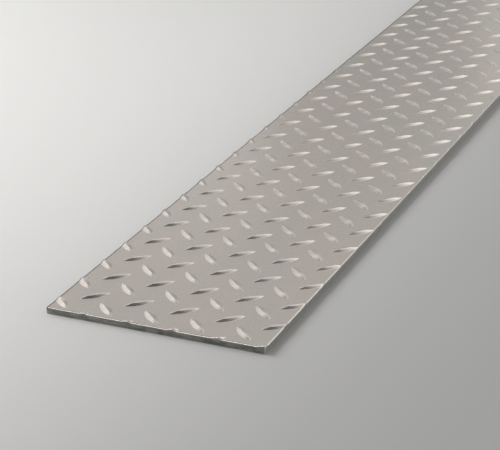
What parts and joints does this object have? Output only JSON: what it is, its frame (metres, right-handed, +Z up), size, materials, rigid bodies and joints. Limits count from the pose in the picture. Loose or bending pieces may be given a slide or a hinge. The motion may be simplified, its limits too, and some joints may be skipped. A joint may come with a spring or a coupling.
{
  "type": "aluminium teardrop tread plate",
  "caption": "Flat rectangular strip of aluminium sheet with a raised teardrop pattern rolled into its upper face for grip, plain on its back.",
  "frame": {"origin": "middle of the strip's underside, on the surface that it lies on", "axes": "+X across the strip's width, +Y along its length (the rolling direction), +Z up out of the patterned face"},
  "size_m": [0.2032, 1.2192, 0.0063],
  "materials": {
    "mill_aluminium": "mill finish, satin, with brighter raised lugs and dull sheared edges"
  },
  "bodies": {
    "root": {"tread_plate": "mill_aluminium"}
  },
  "joints": []
}
